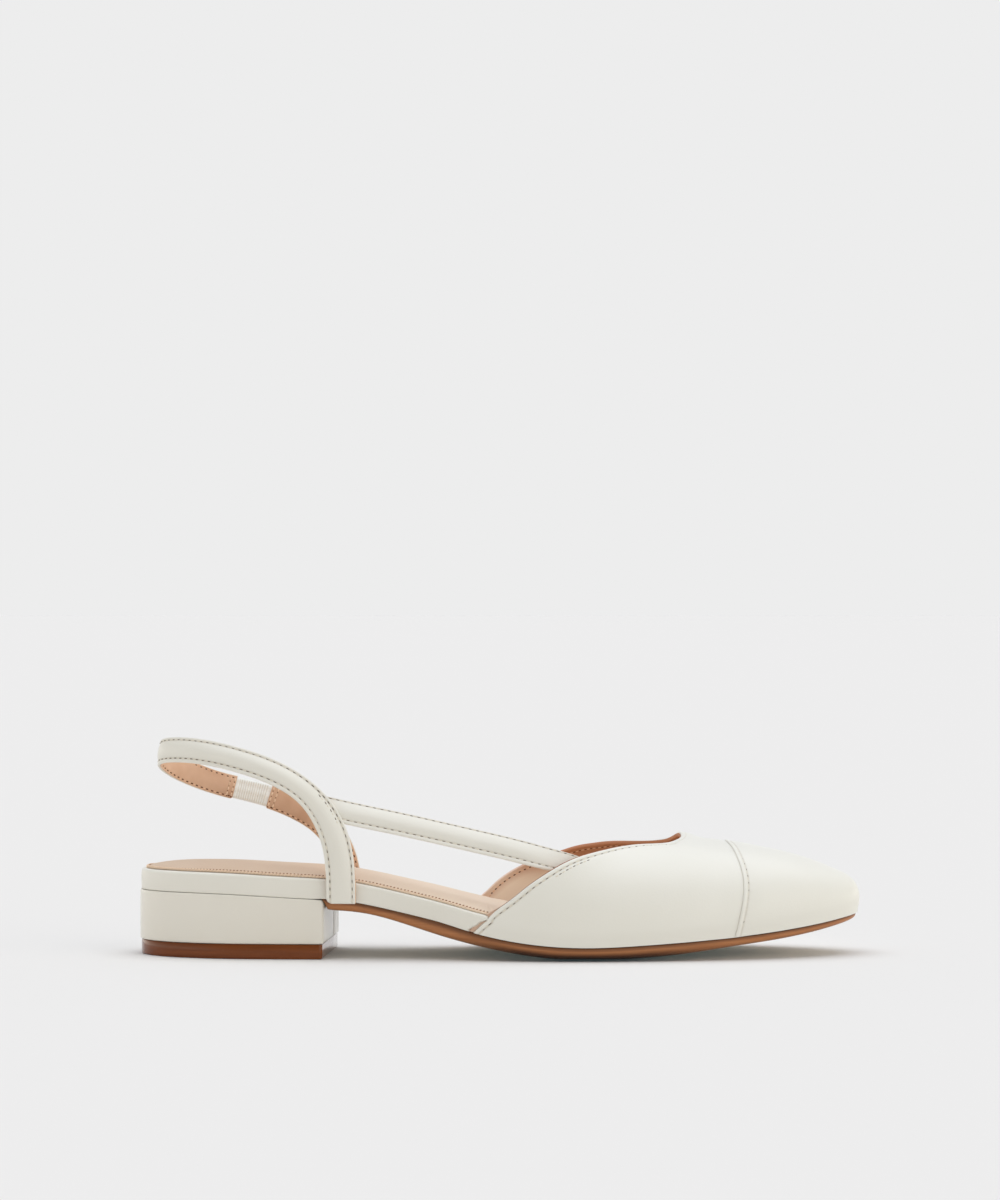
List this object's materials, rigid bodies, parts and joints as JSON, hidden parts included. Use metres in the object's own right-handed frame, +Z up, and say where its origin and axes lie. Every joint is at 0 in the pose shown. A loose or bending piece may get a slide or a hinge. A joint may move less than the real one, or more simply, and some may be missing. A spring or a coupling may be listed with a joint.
{
  "type": "slingback court shoe",
  "caption": "Right slingback flat with a cap toe, cut-away sides, a low wrapped block heel, padded straps and a short elastic, worn on a foot.",
  "frame": {"origin": "centre of the bounding box at floor level, with the shoe standing on its heel and the ball of its sole", "axes": "+X from the heel to the toe, +Y to the inner side of the foot, +Z up"},
  "size_m": [0.2538, 0.0789, 0.0764],
  "materials": {
    "white_leather": "off-white smooth leather with a fine grain and a soft sheen",
    "tan_lining": "matte light tan lining leather",
    "tan_outsole": "tan leather-look sole with a smooth edge",
    "brown_lift": "matte brown heel tip",
    "ribbed_elastic": "off-white ribbed elastic webbing"
  },
  "bodies": {
    "root": {"outsole": "tan_outsole", "heel": "white_leather", "top_lift": "brown_lift", "insole_board": "white_leather", "sock_lining": "tan_lining", "upper": "white_leather", "toe_cap": "white_leather", "sling_strap": "white_leather", "elastic": "ribbed_elastic", "medial_strap": "white_leather", "side_strap": "white_leather"}
  },
  "joints": []
}
